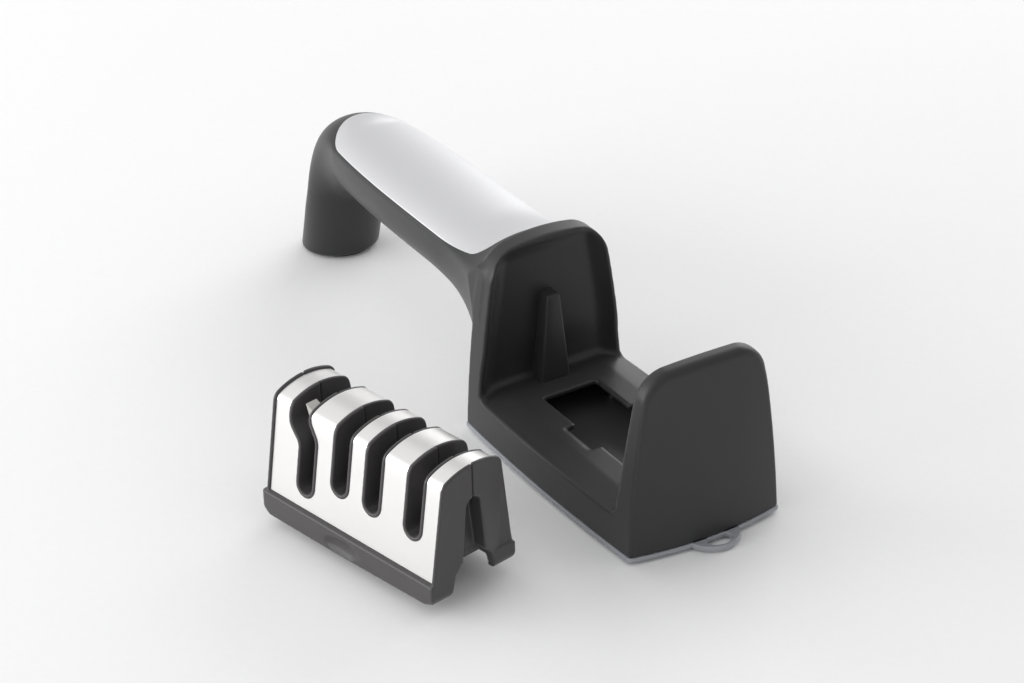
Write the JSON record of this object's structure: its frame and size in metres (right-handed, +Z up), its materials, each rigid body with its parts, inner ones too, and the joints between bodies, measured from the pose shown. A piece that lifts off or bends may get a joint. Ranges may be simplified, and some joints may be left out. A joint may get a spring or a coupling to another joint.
{
  "type": "knife and scissors sharpener",
  "caption": "Pull-through sharpener: a cradle with an arched grip on a soft pad, and a lift-out slotted cartridge with crossed rods for knives and a stone for scissors.",
  "frame": {"origin": "middle of the cradle's footprint, on the table under the pad", "axes": "+X from the handle towards the front wall and hanging loop, +Z up, +Y away from the cartridge that stands beside the base"},
  "size_m": [0.2317, 0.1264, 0.0611],
  "materials": {
    "soft_black": "soft matte",
    "satin_silver": "satin",
    "rubber_black": "matte",
    "shell_black": "satin",
    "clear_grey": "translucent satin",
    "zinc": "zinc plated",
    "steel": "satin",
    "stone_grey": "fired ceramic",
    "diamond_grey": "diamond grit",
    "carbide_grey": "ground",
    "ceramic_white": "fired ceramic"
  },
  "bodies": {
    "base": {"base_shell": "soft_black", "handle_inlay": "satin_silver", "foot_plug": "rubber_black", "bottom_plate": "shell_black", "base_pad": "clear_grey", "bottom_screws": "zinc"},
    "cartridge": {"cartridge_front_half": "shell_black", "cartridge_rear_half": "shell_black", "steel_cover": "steel", "cartridge_screws": "zinc", "scissor_stone": "stone_grey", "coarse_carrier": "rubber_black", "coarse_rod_left": "diamond_grey", "coarse_rod_right": "diamond_grey", "medium_carrier": "rubber_black", "carbide_plate_left": "carbide_grey", "carbide_plate_right": "carbide_grey", "fine_carrier": "rubber_black", "fine_rod_left": "ceramic_white", "fine_rod_right": "ceramic_white"}
  },
  "joints": [
    {"name": "cartridge_lift", "type": "slide", "parent": "base", "child": "cartridge", "axis": [0, 0, 1], "range_m": [0, 0.08]}
  ]
}
